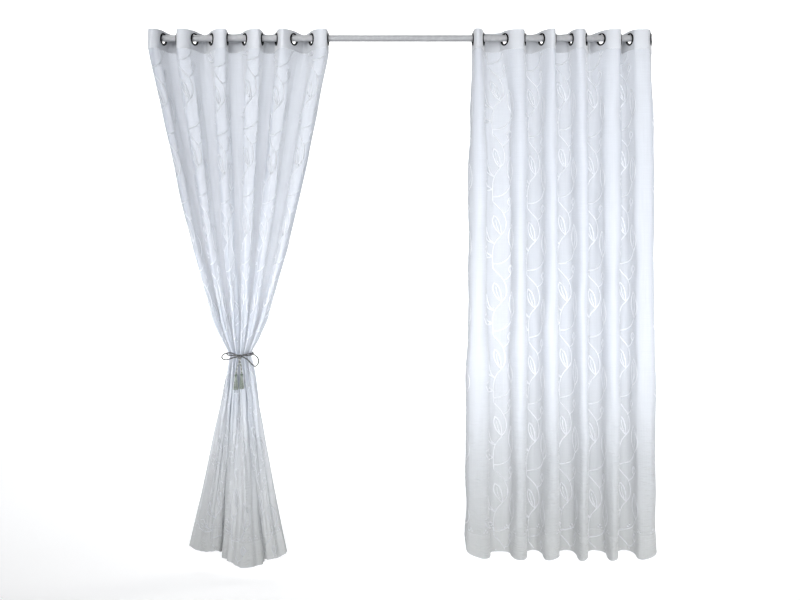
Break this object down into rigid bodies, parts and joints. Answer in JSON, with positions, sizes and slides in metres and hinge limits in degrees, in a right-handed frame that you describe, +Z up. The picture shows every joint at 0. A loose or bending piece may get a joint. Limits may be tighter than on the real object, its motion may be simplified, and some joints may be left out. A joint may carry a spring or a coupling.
{
  "type": "sheer voile curtains on a rod",
  "caption": "Pair of sheer voile eyelet curtains on a plain round rod, the left gathered at the waist by a tasselled cord tie, the right hanging free.",
  "frame": {"origin": "on the rod's axis, half way along it", "axes": "+X along the rod to the right as seen from the room, +Y from the room towards the window, +Z up"},
  "size_m": [2.19, 0.1759, 2.269],
  "materials": {
    "rod": "satin light grey",
    "voile": "sheer plain-weave voile with a woven vine of outlined leaves",
    "heading": "doubled voile over a stiff white tape",
    "ring": "gloss gunmetal",
    "cord": "twisted dark grey cord",
    "tassel": "soft grey-green yarn"
  },
  "bodies": {
    "root": {"rod_tube": "rod", "rod_plug_left": "rod", "rod_plug_right": "rod", "heading_left": "heading", "heading_right": "heading", "panel_left": "voile", "panel_right": "voile", "ring_left_01": "ring", "ring_left_02": "ring", "ring_left_03": "ring", "ring_left_04": "ring", "ring_left_05": "ring", "ring_left_06": "ring", "ring_left_07": "ring", "ring_left_08": "ring", "ring_left_09": "ring", "ring_left_10": "ring", "ring_left_11": "ring", "ring_left_12": "ring", "ring_right_01": "ring", "ring_right_02": "ring", "ring_right_03": "ring", "ring_right_04": "ring", "ring_right_05": "ring", "ring_right_06": "ring", "ring_right_07": "ring", "ring_right_08": "ring", "ring_right_09": "ring", "ring_right_10": "ring", "ring_right_11": "ring", "ring_right_12": "ring", "tie_wrap": "cord", "tie_knot": "cord", "bow_left": "cord", "bow_right": "cord", "tail_left": "cord", "tail_right": "cord", "tassel_left": "tassel", "tassel_right": "tassel"}
  },
  "joints": []
}
